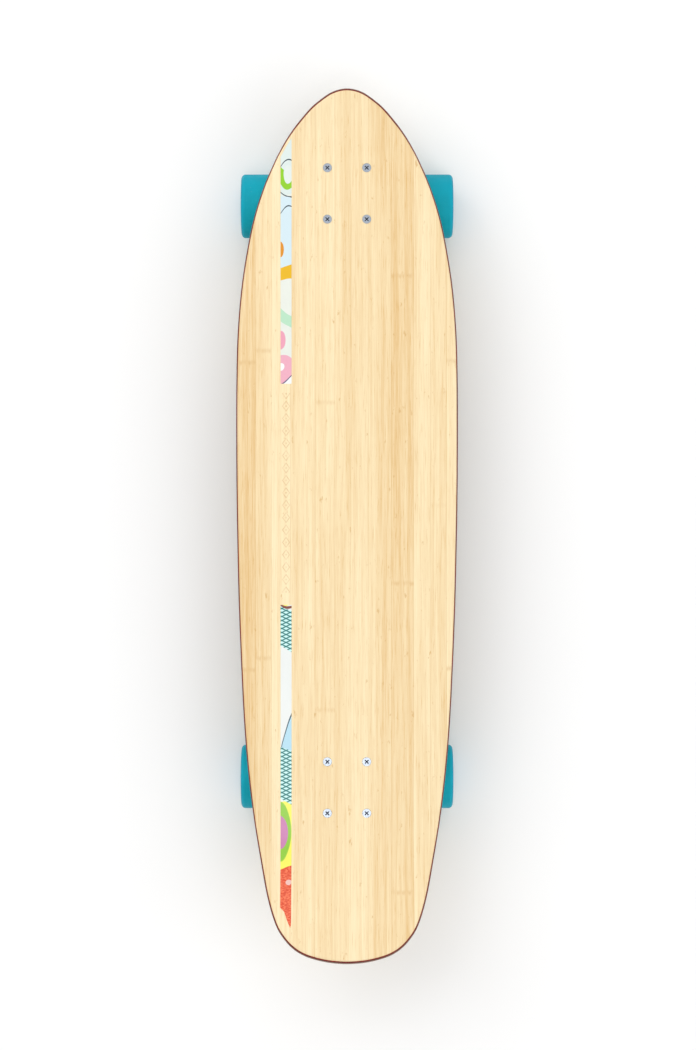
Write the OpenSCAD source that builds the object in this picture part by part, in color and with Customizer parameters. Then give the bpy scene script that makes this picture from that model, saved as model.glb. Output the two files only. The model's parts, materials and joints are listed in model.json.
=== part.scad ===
// Electric skateboard: a kicktail longboard on two reverse-kingpin trucks, with a belt-drive kit
// bolted under the deck. Millimetres. The nose is +Y, the rider's right is +X, the ground is z = 0,
// and the origin is on the ground under the middle of the deck.

/* [Deck] */
// Length of the deck, tip to tip
board_length = 914.4; // [700:0.1:1200]
// Width of the deck at its widest
board_width = 233.2; // [190:0.1:290]
// Thickness of the glued deck
deck_thickness = 11; // [8:0.1:15]
// Thickness of the top and the bottom veneer
veneer = 1.2; // [0.6:0.1:2]
// Thickness of the red ply under the top veneer
red_ply_thickness = 1.2; // [0.6:0.1:2]
// Angle of the kicktail
tail_angle = 20; // [0:1:28]
// Angle of the nose lift
nose_angle = 14; // [0:1:25]
// Spacing of the truck bolts across the deck
bolt_x = 41.3; // [38:0.1:45]
// Spacing of the truck bolts along the deck
bolt_y = 54; // [50:0.1:64]
// Thickness of the riser pads
riser_thickness = 3; // [1:0.5:13]
// Diameter of a truck bolt
truck_bolt_d = 4.8; // [4:0.1:6]
// Length of a truck bolt with its head
truck_bolt_l = 28.6; // [25:0.1:45]
// Diameter of a truck bolt's head
bolt_head_d = 9.2; // [8:0.1:11]
// Width of the inlaid strip
inlay_width = 11.5; // [5:0.1:20]
// Distance of the strip's centre from the deck's centre line, towards the left
inlay_offset = 64; // [40:0.5:80]

/* [Trucks] */
// Width of a baseplate
plate_w = 57; // [54:0.5:70]
// Length of a baseplate
plate_l = 77; // [70:0.5:95]
// Thickness of a baseplate's flange
plate_t = 5.5; // [4:0.5:8]
// Thickness of the seat under a kingpin's head
seat_t0 = 8; // [6:0.5:10]
// Height of the steering axis angle over the deck
steer_angle = 48; // [40:1:52]
// Steering swing to each side
steer_range = 15; // [5:1:18]
// Depth of the axle under the baseplate's top face
axle_depth = 58; // [52:0.5:66]
// Offset of the axle from the steering axis
rake = 3; // [0:0.5:5]
// Width of the hanger between the inner washers
hanger_width = 150; // [130:1:184]
// Axle diameter
axle_d = 8; // [7:0.1:10]
// Kingpin diameter
kingpin_d = 9.5; // [8:0.1:10.5]
// Bushing diameter at its seat
bushing_d = 24; // [20:0.5:29]
// Height of one bushing
bushing_h = 15; // [12:0.5:16]
// Thickness of the hanger's ring between the bushings
ring_h = 6; // [5:0.5:9]

/* [Wheels] */
// Wheel diameter
wheel_d = 68; // [56:0.5:84]
// Wheel width
wheel_w = 51; // [42:0.5:60]
// Bearing outside diameter
bearing_d = 22; // [20:0.1:26.5]
// Bearing width
bearing_w = 7; // [6:0.1:8]
// Gap between the two bearings of a wheel
bearing_gap = 10; // [8:0.1:12]
// Thickness of a speed washer
washer_t = 0.9; // [0.5:0.1:1.5]

/* [Drive kit] */
// Teeth on the wheel pulley
wheel_teeth = 32; // [30:1:36]
// Teeth on the motor pulley
motor_teeth = 14; // [12:1:16]
// Tooth pitch
pitch = 5; // [3:1:5]
// Belt length round the loop
belt_length = 270; // [255:5:300]
// Belt width
belt_w = 15; // [9:1:15]
// Motor diameter
motor_d = 50; // [40:1:56]
// Motor length
motor_l = 54; // [40:1:60]
// Wall of the electronics box
wall = 3; // [2:0.5:5]
// Width of the box's flange outside its wall
flange = 10; // [8:0.5:15]
// Thickness of the foam pad between the cells and the deck
pad_t = 6.5; // [1:0.5:10]
// Width of the motor controller
ctrl_w = 66; // [50:1:90]
// Length of the motor controller
ctrl_l = 90; // [70:1:120]
// Height of the motor controller
ctrl_h = 21; // [12:0.5:21]
// Length of the battery board along the deck
bms_l = 34; // [20:1:50]
// Gap between the pieces in the box
gap = 4; // [2:0.5:10]
// Diameter of a battery cell
cell_d = 18.5; // [18:0.1:22.5]
// Length of a battery cell
cell_l = 65; // [60:0.5:70]
// Travel of the power button
button_travel = 1.5; // [0.5:0.1:3]

/* [View] */
// Piece to make

/* [Hidden] */
$fn = 48;
e = 0.01;
// deck heights and truck places
z_axle = wheel_d / 2;
z_plate = z_axle + axle_depth;
z_under = z_plate + riser_thickness;
z_top = z_under + deck_thickness;
deck_nut_r = truck_bolt_d / 2 + 3.1;
y_front = board_length * 0.3797;
y_rear = -board_length * 0.3022;
y_nose_bend = y_front + bolt_y / 2 + 12;
y_tail_bend = y_rear - bolt_y / 2 - 15;
// outline of the deck: share of the length from the nose, share of the half width
stations = [
    [0, 0], [0.0013, 0.077], [0.0050, 0.154], [0.0115, 0.232], [0.0197, 0.313], [0.0306, 0.394],
    [0.0457, 0.489], [0.0641, 0.579], [0.0864, 0.6655], [0.1137, 0.755], [0.1476, 0.839],
    [0.186, 0.9023], [0.2297, 0.9537], [0.279, 0.986], [0.3336, 0.998], [0.394, 1],
    [0.459, 0.9974], [0.525, 0.989], [0.590, 0.977], [0.656, 0.9571], [0.7218, 0.9314],
    [0.782, 0.8937], [0.8366, 0.8422], [0.8858, 0.7804], [0.9274, 0.716], [0.958, 0.639],
    [0.9744, 0.557], [0.9848, 0.4717], [0.9913, 0.3816], [0.9954, 0.283], [0.9982, 0.180],
    [0.99955, 0.086], [1, 0]
];
last = len(stations) - 1;
// the outline runs on to the other side at both ends, which keeps the ends round
function st(i) = i < 0 ? [stations[-i][0], -stations[-i][1]]
    : i > last ? [stations[2 * last - i][0], -stations[2 * last - i][1]] : stations[i];
function cr(a, b, c, d, t) = 0.5 * (2 * b + (c - a) * t + (2 * a - 5 * b + 4 * c - d) * t * t
    + (3 * b - a - 3 * c + d) * t * t * t);
function lay(p) = [p[1] * board_width / 2, (0.5 - p[0]) * board_length];
side_pts = [for (i = [0 : last - 1]) for (k = [0 : 2])
    lay(cr(st(i - 1), st(i), st(i + 1), st(i + 2), k / 3))];
half_pts = concat(side_pts, [lay(st(last))]);
n_half = len(half_pts);
function unit(v) = v / norm(v);
function left_of(v) = [v[1], -v[0]];
function tangent(i) = i == 0 ? [1, 0] : i == n_half - 1 ? [-1, 0] : unit(half_pts[i + 1] - half_pts[i - 1]);
// local slope of the deck at a place along it
function slope(y) = y > y_nose_bend ? nose_angle * min(1, (y - y_nose_bend) / bend_run(nose_angle))
    : y < y_tail_bend ? tail_angle * min(1, (y_tail_bend - y) / bend_run(tail_angle)) : 0;
function bend_r(a) = 150;
function bend_run(a) = max(1, bend_r(a) * sin(a));
// outline of one layer, set in from the edge; a lower layer stands further out where the deck tilts
function edge_pt(i, inset, above) = let (
    q = half_pts[i] - inset * left_of(-tangent(i)) * -1,
    s = above * sin(slope(q[1]))
) [max(0, q[0]), q[1] - sign(q[1]) * s];
function outline(inset, above) = concat(
    [for (i = [0 : n_half - 1]) edge_pt(i, -inset, above)],
    [for (i = [n_half - 2 : -1 : 1]) let (p = edge_pt(i, -inset, above)) [-p[0], p[1]]]);
// side profile of the top face, from the tail to the nose, with the slope at each point
tail_run = board_length / 2 + y_tail_bend + 8;
nose_run = board_length / 2 - y_nose_bend + 8;
steps = 10;
function bend_pt(a, k) = [bend_r(a) * sin(a * k / steps), bend_r(a) * (1 - cos(a * k / steps))];
function end_pt(a, run) = let (b = bend_pt(a, steps)) [run, b[1] + (run - b[0]) * tan(a)];
path = concat(
    [[y_tail_bend - tail_run, z_top + end_pt(tail_angle, tail_run)[1], -tail_angle]],
    [for (k = [steps : -1 : 0]) let (b = bend_pt(tail_angle, k))
        [y_tail_bend - b[0], z_top + b[1], -tail_angle * k / steps]],
    [for (k = [0 : steps]) let (b = bend_pt(nose_angle, k))
        [y_nose_bend + b[0], z_top + b[1], nose_angle * k / steps]],
    [[y_nose_bend + nose_run, z_top + end_pt(nose_angle, nose_run)[1], nose_angle]]);
function sunk(p, d) = [p[0] + d * sin(p[2]), p[1] - d * cos(p[2])];
function layer_profile(d1, d2) = concat(
    [for (p = path) sunk(p, d1)], [for (i = [len(path) - 1 : -1 : 0]) sunk(path[i], d2)]);
// deck layers as depths under the top face
d_top = [0, veneer];
d_red = [veneer, veneer + red_ply_thickness];
d_core = [veneer + red_ply_thickness, deck_thickness - veneer];
d_bot = [deck_thickness - veneer, deck_thickness];
inlay_t = 0.6;
inlay_front_end = board_length * 0.1613;
inlay_rear_end = -board_length * 0.0926;
inlay_tip = -board_length * 0.4588;
// steering frame: its origin is the ring's centre, +Y runs up and outward along the steering axis
// and +Z runs back along the kingpin to the baseplate
ring_s = 30;
axle_o = -5;
foot_o = axle_o - rake * sin(steer_angle);
foot_z = -axle_depth + rake * cos(steer_angle);
ring_o = foot_o + ring_s * cos(steer_angle);
ring_z = foot_z + ring_s * sin(steer_angle);
seat_t = ring_h / 2 + bushing_h + 2;
pivot_s = -ring_s - 16;
pivot_r = 4.5;
tube_r = 9;
// wheel places
wheel_x = hanger_width / 2 + washer_t + bearing_w + bearing_gap / 2;
core_w = bearing_gap + 2 * bearing_w + 10;
core_r = bearing_d / 2 + 7;
nut_h = 6.5;
axle_l = 2 * (wheel_x + bearing_gap / 2 + bearing_w + washer_t + nut_h) + 1.4;
// drive places
wheel_pr = wheel_teeth * pitch / PI / 2;
motor_pr = motor_teeth * pitch / PI / 2;
loop_half = (belt_length - PI * (wheel_pr + motor_pr)) / 2;
centres = (loop_half + sqrt(loop_half * loop_half - 2 * pow(wheel_pr - motor_pr, 2))) / 2;
motor_rise = 14;
motor_o = axle_o - sqrt(centres * centres - motor_rise * motor_rise);
motor_z = -axle_depth + motor_rise;
mount_x = 33.5;
mount_t = 6.5;
belt_x = mount_x + mount_t + 4.5;
land = 0.57 * pitch / 5;
// electronics box places
cell_step = cell_d + 0.2;
cell_rows = 10;
tub_w = 2 * (cell_l + 1 + wall);
box_w = tub_w + 2 * flange;
box_h = wall + cell_d + pad_t;
tub_l = 2 * wall + 10 + ctrl_l + gap + bms_l + gap + cell_rows * cell_step + gap;
box_l = tub_l + 2 * flange;
box_y0 = y_rear - motor_o + motor_d / 2 + 13;
box_y1 = box_y0 + box_l;
floor_z = z_under - box_h + wall;
ctrl_y = box_y0 + flange + wall + 10;
board_y = ctrl_y + ctrl_l + gap;
cells_y = board_y + bms_l + gap;
port_y = ctrl_y + ctrl_l / 3;
port_z = floor_z + 10;
box_screws = [for (s = [-1, 1]) for (k = [0 : 4])
    [s * (box_w - flange) / 2, box_y0 + 12 + k * (box_l - 24) / 4]];

// ---------- shared shapes ----------
module tube(ro, ri, h) {
    difference() {
        cylinder(r = ro, h = h);
        translate([0, 0, -1]) cylinder(r = ri, h = h + 2);
    }
}

module along_x(x) {
    translate([x, 0, 0]) rotate([0, 90, 0]) children();
}

// a box with round corners, centred in x and y
module rounded_box(w, l, h, r) {
    translate([-w / 2 + r, -l / 2, 0]) cube([w - 2 * r, l, h]);
    translate([-w / 2, -l / 2 + r, 0]) cube([w, l - 2 * r, h]);
    for (x = [-1, 1]) for (y = [-1, 1])
        translate([x * (w / 2 - r), y * (l / 2 - r), 0]) cylinder(r = r, h = h);
}

module truck_at(front) {
    translate([0, front ? y_front : y_rear, z_plate]) mirror([0, front ? 0 : 1, 0]) children();
}

module steer_frame() {
    translate([0, ring_o, ring_z]) rotate([steer_angle, 0, 0]) children();
}

module each_truck() {
    truck_at(true) children();
    truck_at(false) children();
}

module axle_at(front) {
    truck_at(front) translate([0, axle_o, -axle_depth]) children();
}

module bolt_places() {
    for (y = [y_front, y_rear]) for (sx = [-1, 1]) for (sy = [-1, 1])
        translate([sx * bolt_x / 2, y + sy * bolt_y / 2, 0]) children();
}

// loop round two circles in a plane, the first at the origin and the second at c
function loop(r1, c, r2, n) = let (
    d = norm(c),
    a = atan2(c[1], c[0]),
    b = acos((r1 - r2) / d)
) concat(
    [for (k = [0 : n]) let (t = a + b + (360 - 2 * b) * k / n) r1 * [cos(t), sin(t)]],
    [for (k = [0 : n]) let (t = a - b + 2 * b * k / n) c + r2 * [cos(t), sin(t)]]);

// ---------- deck ----------
module layer(d, inset) {
    intersection() {
        linear_extrude(height = 2 * z_top + 60) polygon(outline(inset, max(0, d_core[1] - d[1])));
        translate([-board_width, 0, 0]) rotate([90, 0, 90])
            linear_extrude(height = 2 * board_width) polygon(layer_profile(d[0], d[1]));
    }
}

module bolt_body() {
    bolt_places() {
        translate([0, 0, z_top - truck_bolt_l]) cylinder(d = truck_bolt_d, h = truck_bolt_l - 2.4);
        translate([0, 0, z_top - 2.7]) cylinder(d1 = truck_bolt_d, d2 = bolt_head_d, h = 2.4);
        translate([0, 0, z_top - 0.3]) cylinder(d = bolt_head_d, h = 0.3);
    }
}

module screw_shanks() {
    for (p = box_screws) translate([p[0], p[1], z_under - wall]) cylinder(r = 2, h = wall + 7);
}

module inlay_area(front) {
    h = inlay_width / 2;
    x = -inlay_offset;
    if (front) {
        intersection() {
            polygon(outline(4, deck_thickness));
            translate([x - h, inlay_front_end]) square([inlay_width, board_length]);
        }
    } else {
        intersection() {
            polygon(outline(4, deck_thickness));
            polygon([[x - h, inlay_rear_end], [x + h, inlay_rear_end], [x + h, inlay_tip + 3],
                [x + h - 1, inlay_tip], [x + 1.2, inlay_tip + 8], [x - 1.6, inlay_tip + 16],
                [x - h, inlay_tip + 20]]);
        }
    }
}

module inlay(front) {
    intersection() {
        linear_extrude(height = 2 * z_top + 60) inlay_area(front);
        translate([-board_width, 0, 0]) rotate([90, 0, 90])
            linear_extrude(height = 2 * board_width) polygon(layer_profile(0, inlay_t));
    }
}

module deck_top_veneer() {
    color([0.95, 0.85, 0.66]) difference() {
        layer(d_top, 1.8);
        bolt_body();
        intersection() {
            union() {
                linear_extrude(height = 2 * z_top + 60) inlay_area(true);
                linear_extrude(height = 2 * z_top + 60) inlay_area(false);
            }
            translate([-board_width, 0, 0]) rotate([90, 0, 90])
                linear_extrude(height = 2 * board_width) polygon(layer_profile(-1, inlay_t));
        }
    }
}

module deck_red_ply() {
    color([0.45, 0.12, 0.08]) difference() {
        layer(d_red, 0.5);
        bolt_body();
    }
}

module deck_core() {
    color([0.75, 0.58, 0.38]) difference() {
        layer(d_core, 0);
        bolt_body();
        screw_shanks();
    }
}

module deck_bottom_veneer() {
    color([0.90, 0.78, 0.58]) difference() {
        layer(d_bot, 1);
        bolt_body();
        screw_shanks();
    }
}

module front_inlay() {
    color([0.55, 0.85, 0.75]) inlay(true);
}

module rear_inlay() {
    color([0.30, 0.75, 0.75]) inlay(false);
}

module deck_bolts() {
    color([0.72, 0.74, 0.78]) difference() {
        bolt_body();
        bolt_places() translate([0, 0, z_top - 1.7]) rotate([0, 0, 45]) {
            translate([-2.7, -0.55, 0]) cube([5.4, 1.1, 2]);
            translate([-0.55, -2.7, 0]) cube([1.1, 5.4, 2]);
        }
    }
}

module deck_nuts() {
    color([0.70, 0.71, 0.73]) bolt_places() translate([0, 0, z_plate - plate_t - 5]) difference() {
        union() {
            translate([0, 0, 1.3]) cylinder(r = deck_nut_r, h = 3.7, $fn = 6);
            cylinder(r = truck_bolt_d / 2 + 2.1, h = 5);
        }
        translate([0, 0, -1]) cylinder(d = truck_bolt_d, h = 8);
    }
}

module riser_pads() {
    color([0.10, 0.10, 0.10]) each_truck() difference() {
        rounded_box(plate_w + 3, plate_l + 3, riser_thickness, 6);
        for (sx = [-1, 1]) for (sy = [-1, 1])
            translate([sx * bolt_x / 2, sy * bolt_y / 2, -1])
                cylinder(d = truck_bolt_d + 0.6, h = riser_thickness + 2);
    }
}

// ---------- trucks ----------
// side shape of the wedge and the arm of a baseplate, in the steering frame (along, toward the plate)
function in_truck(s, t) = [
    ring_o + s * cos(steer_angle) - t * sin(steer_angle),
    ring_z + s * sin(steer_angle) + t * cos(steer_angle)];

module side_slab(pts, w) {
    translate([-w / 2, 0, 0]) rotate([90, 0, 90]) linear_extrude(height = w) polygon(pts);
}

module baseplates() {
    seat_r = bushing_d / 2 + 2.5;
    color([0.30, 0.31, 0.33]) each_truck() difference() {
        union() {
            translate([0, 0, -plate_t]) rounded_box(plate_w, plate_l, plate_t, 6);
            steer_frame() translate([0, 0, seat_t]) cylinder(r = seat_r, h = 45);
            side_slab([in_truck(seat_r - 0.5, seat_t), in_truck(-seat_r - 0.5, seat_t),
                in_truck(-28, seat_t - 5), in_truck(-41, 10), in_truck(-43, 3), in_truck(-53, 3),
                in_truck(-53.5, 8.5),
                [-34, -42], [3 - plate_l / 2 - 1, -3], [15, -3], [13.5, -5.5]], 22);
            steer_frame() translate([0, pivot_s + 4, 0]) rotate([90, 0, 0]) cylinder(r = 9, h = 11.5);
        }
        translate([-50, -80, 0]) cube([100, 160, 60]);
        for (m = [0, 1]) mirror([m, 0, 0]) translate([7, 0, 0])
            side_slab([in_truck(-seat_r - 4.5, seat_t + 3), in_truck(-28, seat_t - 1), in_truck(-39, 15),
                [-32, -46], [-33, -9], [-24, -9]], 8.01);
        steer_frame() {
            translate([0, 0, -1]) cylinder(r = kingpin_d / 2, h = 100);
            translate([0, 0, seat_t + seat_t0]) cylinder(r = kingpin_d / 2 + 4.4, h = 60);
            translate([0, pivot_s + 5, 0]) rotate([90, 0, 0]) cylinder(r = pivot_r + 2, h = 11);
            translate([0, pivot_s + 8, 0]) rotate([90, 0, 0]) cylinder(r = pivot_r + 3.2, h = 4);
        }
        // bolt holes, and room round each nut
        for (sx = [-1, 1]) for (sy = [-1, 1]) translate([sx * bolt_x / 2, sy * bolt_y / 2, -plate_t]) {
            translate([0, 0, -1]) cylinder(d = truck_bolt_d + 0.4, h = 20);
            translate([0, 0, -12]) cylinder(r = deck_nut_r + 0.4, h = 12);
        }
    }
}

module pivot_cups() {
    color([0.08, 0.08, 0.09]) each_truck() steer_frame() translate([0, pivot_s, 0]) rotate([90, 0, 0])
        difference() {
            union() {
                translate([0, 0, -4]) cylinder(r = pivot_r + 2, h = 10);
                translate([0, 0, -4.8]) cylinder(r = pivot_r + 3.1, h = 0.8);
            }
            translate([0, 0, -5]) cylinder(r = pivot_r + 0.3, h = 5);
            sphere(r = pivot_r + 0.3);
            translate([0, 0, -5]) cylinder(r1 = pivot_r + 1.4, r2 = pivot_r + 0.3, h = 4);
        }
}

module kingpins() {
    color([0.78, 0.78, 0.80]) each_truck() steer_frame() {
        translate([0, 0, -seat_t - 9]) cylinder(d = kingpin_d, h = 2 * seat_t + seat_t0 + 9 + e);
        translate([0, 0, seat_t + seat_t0]) cylinder(r = kingpin_d / 2 + 3.5, h = 6.5, $fn = 6);
    }
}

module kingpin_nuts() {
    color([0.76, 0.76, 0.78]) each_truck() steer_frame() translate([0, 0, -seat_t - 7.5]) difference() {
        union() {
            translate([0, 0, 2.2]) cylinder(r = kingpin_d / 2 + 3.5, h = 5.8, $fn = 6);
            cylinder(r = kingpin_d / 2 + 1.9, h = 2.3);
        }
        translate([0, 0, -1]) cylinder(r = kingpin_d / 2, h = 12);
    }
}

module bushing_washers() {
    color([0.80, 0.80, 0.82]) each_truck() steer_frame() for (m = [0, 1]) mirror([0, 0, m])
        translate([0, 0, seat_t - 2]) difference() {
            union() {
                translate([0, 0, m ? 0 : 0.5]) cylinder(r = bushing_d / 2 + 0.8, h = 1.5);
                translate([0, 0, -1.2]) tube(bushing_d / 2 + 1.5, bushing_d / 2 + 0.2, m ? 2.7 : 3.2);
                cylinder(r = bushing_d / 2 + 0.8, h = 1);
            }
            translate([0, 0, -1]) cylinder(r = kingpin_d / 2, h = 5);
        }
}

module bushings() {
    steer_frame() {
        translate([0, 0, ring_h / 2]) difference() {
            cylinder(r = bushing_d / 2, h = bushing_h);
            translate([0, 0, -1]) cylinder(r = kingpin_d / 2 + 0.3, h = bushing_h + 2);
        }
        translate([0, 0, -ring_h / 2 - bushing_h]) difference() {
            cylinder(r1 = bushing_d / 2 - 1.5, r2 = bushing_d / 2, h = bushing_h);
            translate([0, 0, -1]) cylinder(r = kingpin_d / 2 + 0.3, h = bushing_h + 2);
        }
    }
}

module hanger() {
    w = hanger_width;
    difference() {
        union() {
            steer_frame() {
                translate([0, 0, -ring_h / 2 - 2]) cylinder(r = bushing_d / 2 + 3.5, h = ring_h + 4);
                translate([0, 0, -ring_h / 2 - 1]) linear_extrude(height = ring_h + 1) polygon([
                    [-13, 4], [13, 4], [20, -14], [31, -ring_s + 5], [31, -ring_s + 1],
                    [-31, -ring_s + 1], [-31, -ring_s + 5], [-20, -14]]);
                translate([-12, -ring_s, -8]) cube([24, 20, ring_h / 2 + 8]);
                translate([0, -ring_s + 4, 0]) rotate([90, 0, 0]) cylinder(r1 = 9, r2 = 6.6, h = 11.5);
                translate([0, -ring_s - 7, 0]) rotate([90, 0, 0])
                    cylinder(r1 = pivot_r + 1.2, r2 = pivot_r, h = 5);
                translate([0, -ring_s - 11, 0]) rotate([90, 0, 0]) cylinder(r = pivot_r, h = 5);
                translate([0, pivot_s, 0]) sphere(r = pivot_r);
            }
            translate([0, axle_o, -axle_depth]) {
                along_x(-w / 2 + 2) cylinder(r = tube_r, h = w - 4);
                along_x(-w / 2) cylinder(r1 = 6.5, r2 = tube_r, h = 2);
                along_x(w / 2 - 2) cylinder(r1 = tube_r, r2 = 6.5, h = 2);
                along_x(-26) cylinder(r = tube_r + 0.5, h = 52);
            }
        }
        steer_frame() {
            translate([0, 0, -20]) cylinder(r = kingpin_d / 2 + 3.4, h = 40);
            translate([0, 0, ring_h / 2]) cylinder(r = bushing_d / 2 + 0.4, h = 10);
            translate([0, 0, -ring_h / 2 - 10]) cylinder(r = bushing_d / 2 + 0.4, h = 10);
        }
        translate([0, axle_o, -axle_depth]) along_x(-w) cylinder(d = axle_d, h = 2 * w);
    }
}

module axle() {
    along_x(-axle_l / 2) cylinder(r1 = axle_d / 2 - 0.8, r2 = axle_d / 2, h = 0.8);
    along_x(-axle_l / 2 + 0.8) cylinder(d = axle_d, h = axle_l - 1.6);
    along_x(axle_l / 2 - 0.8) cylinder(r1 = axle_d / 2, r2 = axle_d / 2 - 0.8, h = 0.8);
}

module on_both_ends() {
    children();
    mirror([1, 0, 0]) children();
}

module speed_washers() {
    on_both_ends() {
        along_x(hanger_width / 2) tube(axle_d / 2 + 2, axle_d / 2, washer_t);
        along_x(wheel_x + bearing_gap / 2 + bearing_w) tube(axle_d / 2 + 2, axle_d / 2, washer_t);
    }
}

module axle_nuts() {
    on_both_ends() along_x(wheel_x + bearing_gap / 2 + bearing_w + washer_t) difference() {
        union() {
            cylinder(r = 7.4, h = 4.6, $fn = 6);
            cylinder(r = 6.2, h = nut_h);
        }
        translate([0, 0, -1]) cylinder(d = axle_d, h = nut_h + 2);
    }
}

module bearing_inner_rings() {
    on_both_ends() for (s = [-1, 1]) along_x(wheel_x + s * (bearing_gap + bearing_w) / 2 - bearing_w / 2)
        tube(axle_d / 2 + 1.9, axle_d / 2, bearing_w);
}

module bearing_spacers() {
    on_both_ends() along_x(wheel_x - bearing_gap / 2) tube(axle_d / 2 + 1.3, axle_d / 2, bearing_gap);
}

module front_bushings() {
    color([0.93, 0.93, 0.90]) truck_at(true) bushings();
}

module front_hanger() {
    color([0.62, 0.63, 0.65]) truck_at(true) hanger();
}

module front_axle() {
    color([0.70, 0.70, 0.72]) axle_at(true) axle();
}

module front_speed_washers() {
    color([0.75, 0.75, 0.77]) axle_at(true) speed_washers();
}

module front_axle_nuts() {
    color([0.72, 0.72, 0.74]) axle_at(true) axle_nuts();
}

module front_bearing_inner_rings() {
    color([0.78, 0.78, 0.80]) axle_at(true) bearing_inner_rings();
}

module front_bearing_spacers() {
    color([0.74, 0.75, 0.77]) axle_at(true) bearing_spacers();
}

module rear_bushings() {
    color([0.93, 0.93, 0.90]) truck_at(false) bushings();
}

module rear_hanger() {
    color([0.62, 0.63, 0.65]) truck_at(false) hanger();
}

module rear_axle() {
    color([0.70, 0.70, 0.72]) axle_at(false) axle();
}

module rear_speed_washers() {
    color([0.75, 0.75, 0.77]) axle_at(false) speed_washers();
}

module rear_axle_nuts() {
    color([0.72, 0.72, 0.74]) axle_at(false) axle_nuts();
}

module rear_bearing_inner_rings() {
    color([0.78, 0.78, 0.80]) axle_at(false) bearing_inner_rings();
}

module rear_bearing_spacers() {
    color([0.74, 0.75, 0.77]) axle_at(false) bearing_spacers();
}

// ---------- wheels ----------
module wheel_at(front, side) {
    axle_at(front) translate([side * wheel_x, 0, 0]) rotate([0, 90, 0]) children();
}

// half section of the tyre, with its rounded lip
lip = 4.5;
tyre_r = wheel_d / 2;
tyre_h = wheel_w / 2;
lip_pts = [for (k = [0 : 8]) let (a = 90 * k / 8)
    [tyre_r - lip + lip * cos(a), tyre_h - lip + lip * sin(a)]];
half_tyre = concat(lip_pts, [[min(core_r + 8.5, tyre_r - lip - 0.5), tyre_h],
    [min(core_r + 6, tyre_r - lip - 1), tyre_h - 1], [core_r + 3, core_w / 2 + 2.5],
    [core_r, core_w / 2]]);
tyre_pts = concat(half_tyre, [for (i = [len(half_tyre) - 1 : -1 : 0]) [half_tyre[i][0], -half_tyre[i][1]]]);

module tyre() {
    rotate_extrude() polygon(tyre_pts);
}

module core() {
    difference() {
        translate([0, 0, -core_w / 2]) cylinder(r = core_r, h = core_w);
        translate([0, 0, -core_w]) cylinder(r = bearing_d / 2 - 1.8, h = 2 * core_w);
        for (m = [0, 1]) mirror([0, 0, m]) {
            translate([0, 0, bearing_gap / 2]) cylinder(d = bearing_d, h = core_w);
            for (k = [0 : 5]) rotate([0, 0, 30 + 60 * k]) translate([core_r - 3.6, 0, core_w / 2 - 9])
                cylinder(r = 1.9, h = 10);
        }
    }
}

module bearings() {
    for (m = [0, 1]) mirror([0, 0, m]) translate([0, 0, bearing_gap / 2]) {
        difference() {
            cylinder(d = bearing_d, h = bearing_w);
            translate([0, 0, -1]) cylinder(r = axle_d / 2 + 2.2, h = bearing_w + 2);
            translate([0, 0, 0.9]) cylinder(r = bearing_d / 2 - 1.7, h = bearing_w - 1.8);
        }
    }
}

module front_left_tyre() {
    color([0.03, 0.50, 0.60]) wheel_at(true, -1) tyre();
}

module front_left_core() {
    color([0.85, 0.93, 0.93]) wheel_at(true, -1) core();
}

module front_left_bearings() {
    color([0.75, 0.76, 0.78]) wheel_at(true, -1) bearings();
}

module front_right_tyre() {
    color([0.03, 0.50, 0.60]) wheel_at(true, 1) tyre();
}

module front_right_core() {
    color([0.85, 0.93, 0.93]) wheel_at(true, 1) core();
}

module front_right_bearings() {
    color([0.75, 0.76, 0.78]) wheel_at(true, 1) bearings();
}

module rear_left_tyre() {
    color([0.03, 0.50, 0.60]) wheel_at(false, -1) tyre();
}

module rear_left_core() {
    color([0.85, 0.93, 0.93]) wheel_at(false, -1) core();
}

module rear_left_bearings() {
    color([0.75, 0.76, 0.78]) wheel_at(false, -1) bearings();
}

module rear_right_tyre() {
    color([0.03, 0.50, 0.60]) wheel_at(false, 1) tyre();
}

module rear_right_core() {
    color([0.85, 0.93, 0.93]) difference() {
        wheel_at(false, 1) core();
        pulley_bolt_shapes(0);
    }
}

module rear_right_bearings() {
    color([0.75, 0.76, 0.78]) wheel_at(false, 1) bearings();
}

// ---------- electronics ----------
module enclosure_shell() {
    color([0.07, 0.07, 0.08]) difference() {
        translate([0, (box_y0 + box_y1) / 2, 0]) {
            translate([0, 0, z_under - wall]) rounded_box(box_w, box_l, wall, 12);
            translate([0, 0, z_under - box_h]) rounded_box(tub_w, tub_l, box_h, 10);
            translate([0, 0, z_under - box_h - 1.5]) rounded_box(tub_w - 30, tub_l - 40, 2, 8);
            translate([0, -tub_l / 2 - 6, z_under - box_h / 2]) rotate([-90, 0, 0]) cylinder(r = 7, h = 8);
        }
        translate([0, (box_y0 + box_y1) / 2, floor_z])
            rounded_box(tub_w - 2 * wall, tub_l - 2 * wall, box_h, 7);
        translate([0, box_y0, z_under - box_h / 2]) rotate([-90, 0, 0])
            cylinder(r = 4.5, h = flange + wall + 4);
        screw_shanks();
        translate([0, port_y, port_z]) {
            along_x(-tub_w / 2 - 2) cylinder(r = 6, h = wall + 4);
            along_x(tub_w / 2 - wall - 2) cylinder(r = 6, h = wall + 4);
        }
    }
}

module enclosure_screws() {
    color([0.12, 0.12, 0.13]) {
        difference() {
            union() {
                screw_shanks();
                for (p = box_screws) translate([p[0], p[1], z_under - wall - 2.2])
                    cylinder(r1 = 3, r2 = 3.9, h = 2.2);
            }
            for (p = box_screws) translate([p[0], p[1], z_under - wall - 3])
                cylinder(r = 1.5, h = 2.4, $fn = 6);
        }
    }
}

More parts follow.
